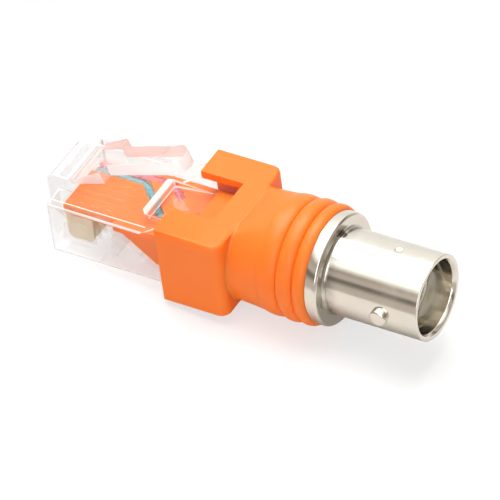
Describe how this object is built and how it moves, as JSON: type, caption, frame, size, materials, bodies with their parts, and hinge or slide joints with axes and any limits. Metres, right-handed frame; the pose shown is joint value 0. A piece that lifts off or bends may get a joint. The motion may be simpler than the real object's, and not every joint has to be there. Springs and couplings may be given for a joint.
{
  "type": "bnc to ethernet adapter",
  "caption": "Inline adapter with a bayonet coax jack at one end and a clear modular network plug with a sprung latch at the other, joined by a ribbed orange moulded grip.",
  "frame": {"origin": "centre of the coax jack's mouth, on the jack's axis", "axes": "+X out of the jack's mouth, +Z towards the side that carries the plug's latch"},
  "size_m": [0.0459, 0.0146, 0.017],
  "materials": {
    "nickel_plate": "bright nickel plate on turned brass",
    "white_insulator": "waxy turned fluoropolymer",
    "gold_plate": "thin gold plate",
    "tinned_brass": "tin plate",
    "solder": "tin solder",
    "copper": "bare drawn copper",
    "red_insulation": "gloss",
    "teal_insulation": "gloss",
    "clear_plastic": "clear polished polycarbonate",
    "orange_plastic": "satin soft moulded plastic"
  },
  "bodies": {
    "adapter": {"jack_shell": "nickel_plate", "bayonet_pin_near": "nickel_plate", "bayonet_pin_far": "nickel_plate", "jack_insulator": "white_insulator", "centre_contact": "gold_plate", "ground_tag": "tinned_brass", "cup_solder": "solder", "tab_solder": "solder", "red_wire_conductor": "copper", "teal_wire_conductor": "copper", "red_wire_insulation": "red_insulation", "teal_wire_insulation": "teal_insulation", "plug_housing": "clear_plastic", "moulded_grip": "orange_plastic", "contact_blade_1": "gold_plate", "contact_blade_2": "gold_plate", "contact_blade_3": "gold_plate", "contact_blade_4": "gold_plate", "contact_blade_5": "gold_plate", "contact_blade_6": "gold_plate", "contact_blade_7": "gold_plate", "contact_blade_8": "gold_plate"},
    "latch": {"latch_lever": "clear_plastic"}
  },
  "joints": [
    {"name": "latch_press", "type": "hinge", "parent": "adapter", "child": "latch", "pos_m": [-0.04268, 0, 0.0041], "axis": [0, 1, 0], "range_deg": [0, 15], "stiffness_Nm_per_rad": 0.1}
  ]
}
